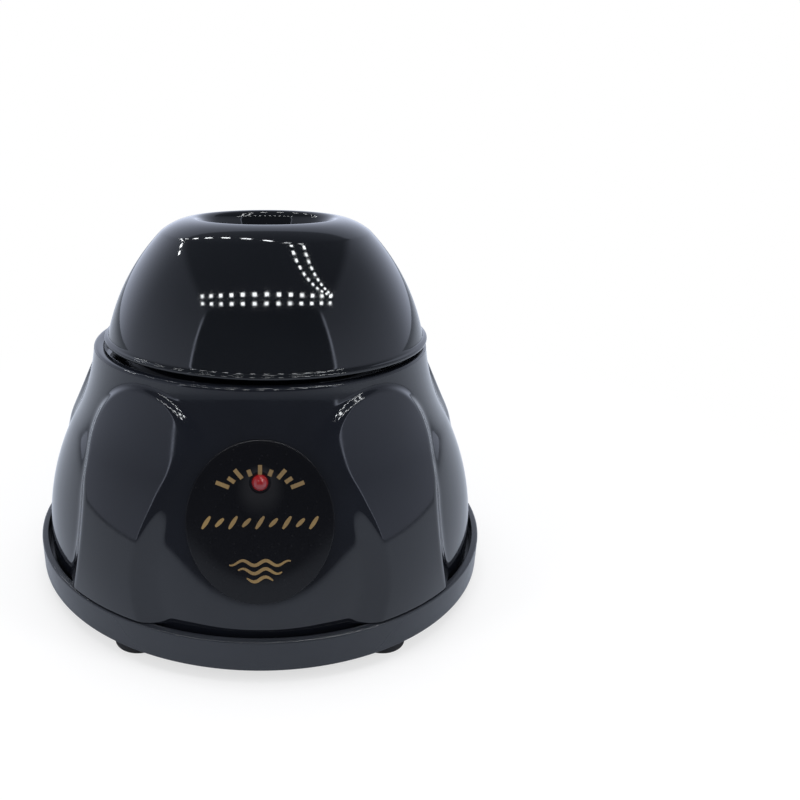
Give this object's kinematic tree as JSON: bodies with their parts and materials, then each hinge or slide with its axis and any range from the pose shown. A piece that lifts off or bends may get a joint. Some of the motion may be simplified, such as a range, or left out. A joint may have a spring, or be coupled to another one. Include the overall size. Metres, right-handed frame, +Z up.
{
  "type": "nail polish shaker machine",
  "caption": "Round bench shaker: a panelled bell body on a foot ring carries a motor whose eccentric drives a loose dome with a cup that grips and shakes a nail polish bottle.",
  "frame": {"origin": "bottom centre, on the surface that the feet stand on, on the motor's axis", "axes": "+Z up along the motor's axis, -Y towards the label at the front, +X to the right seen from the front"},
  "size_m": [0.105, 0.105, 0.079],
  "materials": {
    "base_tray": "satin black plastic",
    "rubber_feet": "matt rubber",
    "ballast_plate": "plain steel",
    "base_screws": "zinc plated",
    "body_shell": "high gloss black plastic",
    "label_plate": "printed film",
    "power_led": "clear red lens",
    "standoffs": "nylon",
    "standoff_screws": "zinc plated",
    "guide_screws": "zinc plated",
    "return_springs": "spring steel wire",
    "press_switch": "moulded switch case",
    "press_switch_plunger": "moulded plunger",
    "control_board": "green laminate",
    "board_parts": "mixed parts",
    "board_screws": "zinc plated",
    "dc_jack": "moulded inlet",
    "jack_pin": "nickel plated brass",
    "jack_nut": "zinc plated",
    "power_switch_case": "moulded nylon",
    "switch_terminals": "tinned brass",
    "rocker_button": "moulded nylon",
    "motor_cradle": "glass filled nylon",
    "motor_can": "plated steel",
    "motor_magnets": "ferrite",
    "motor_end_cap": "moulded end cap",
    "motor_brushes": "carbon",
    "motor_terminals": "brass",
    "motor_screws": "zinc plated",
    "anti_turn_pins": "ground steel",
    "pin_sleeves": "matt rubber",
    "motor_shaft": "ground steel",
    "armature_core": "steel laminations",
    "armature_windings": "enamelled copper wire",
    "commutator": "copper",
    "eccentric_hub": "turned brass",
    "set_screw": "black oxide",
    "counterweight": "plain steel",
    "bearing_inner_ring": "ground steel",
    "bearing_balls": "polished steel",
    "bearing_outer_ring": "ground steel",
    "head_carrier": "glass filled nylon",
    "carrier_screws": "zinc plated",
    "dome_cap": "high gloss black plastic"
  },
  "bodies": {
    "base": {"base_tray": "base_tray", "rubber_feet": "rubber_feet", "ballast_plate": "ballast_plate", "base_screws": "base_screws", "body_shell": "body_shell", "label_plate": "label_plate", "power_led": "power_led", "standoffs": "standoffs", "standoff_screws": "standoff_screws", "guide_screws": "guide_screws", "return_springs": "return_springs", "press_switch": "press_switch", "control_board": "control_board", "board_parts": "board_parts", "board_screws": "board_screws", "dc_jack": "dc_jack", "jack_pin": "jack_pin", "jack_nut": "jack_nut", "power_switch_case": "power_switch_case", "switch_terminals": "switch_terminals"},
    "plunger": {"press_switch_plunger": "press_switch_plunger"},
    "rocker": {"rocker_button": "rocker_button"},
    "cradle": {"motor_cradle": "motor_cradle", "motor_can": "motor_can", "motor_magnets": "motor_magnets", "motor_end_cap": "motor_end_cap", "motor_brushes": "motor_brushes", "motor_terminals": "motor_terminals", "motor_screws": "motor_screws", "anti_turn_pins": "anti_turn_pins", "pin_sleeves": "pin_sleeves"},
    "rotor": {"motor_shaft": "motor_shaft", "armature_core": "armature_core", "armature_windings": "armature_windings", "commutator": "commutator", "eccentric_hub": "eccentric_hub", "set_screw": "set_screw", "counterweight": "counterweight", "bearing_inner_ring": "bearing_inner_ring"},
    "balls": {"bearing_balls": "bearing_balls"},
    "head": {"bearing_outer_ring": "bearing_outer_ring", "head_carrier": "head_carrier", "carrier_screws": "carrier_screws", "dome_cap": "dome_cap"}
  },
  "joints": [
    {"name": "cup_press", "type": "slide", "parent": "base", "child": "cradle", "axis": [0, 0, -1], "range_m": [0, 0.0007], "stiffness_N_per_m": 3000, "springref_m": -0.003, "deforming": ["return_springs"]},
    {"name": "switch_plunger_travel", "type": "slide", "parent": "base", "child": "plunger", "axis": [0, 0, -1], "range_m": [0, 0.0007]},
    {"name": "rocker_tilt", "type": "hinge", "parent": "base", "child": "rocker", "pos_m": [0, 0.04509, 0.03484], "axis": [1, 0, 0], "range_deg": [0, 18]},
    {"name": "motor_spin", "type": "hinge", "parent": "cradle", "child": "rotor", "pos_m": [0, 0, 0.05], "axis": [0, 0, 1], "continuous": true},
    {"name": "head_orbit", "type": "hinge", "parent": "rotor", "child": "head", "pos_m": [0.0012, 0, 0.06], "axis": [0, 0, 1], "continuous": true},
    {"name": "ball_roll", "type": "hinge", "parent": "rotor", "child": "balls", "pos_m": [0.0012, 0, 0.06], "axis": [0, 0, 1], "continuous": true}
  ],
  "couplings": [
    {"joint": "switch_plunger_travel", "follows": "cup_press", "ratio": 1},
    {"joint": "head_orbit", "follows": "motor_spin", "ratio": -1},
    {"joint": "ball_roll", "follows": "motor_spin", "ratio": -0.63}
  ]
}
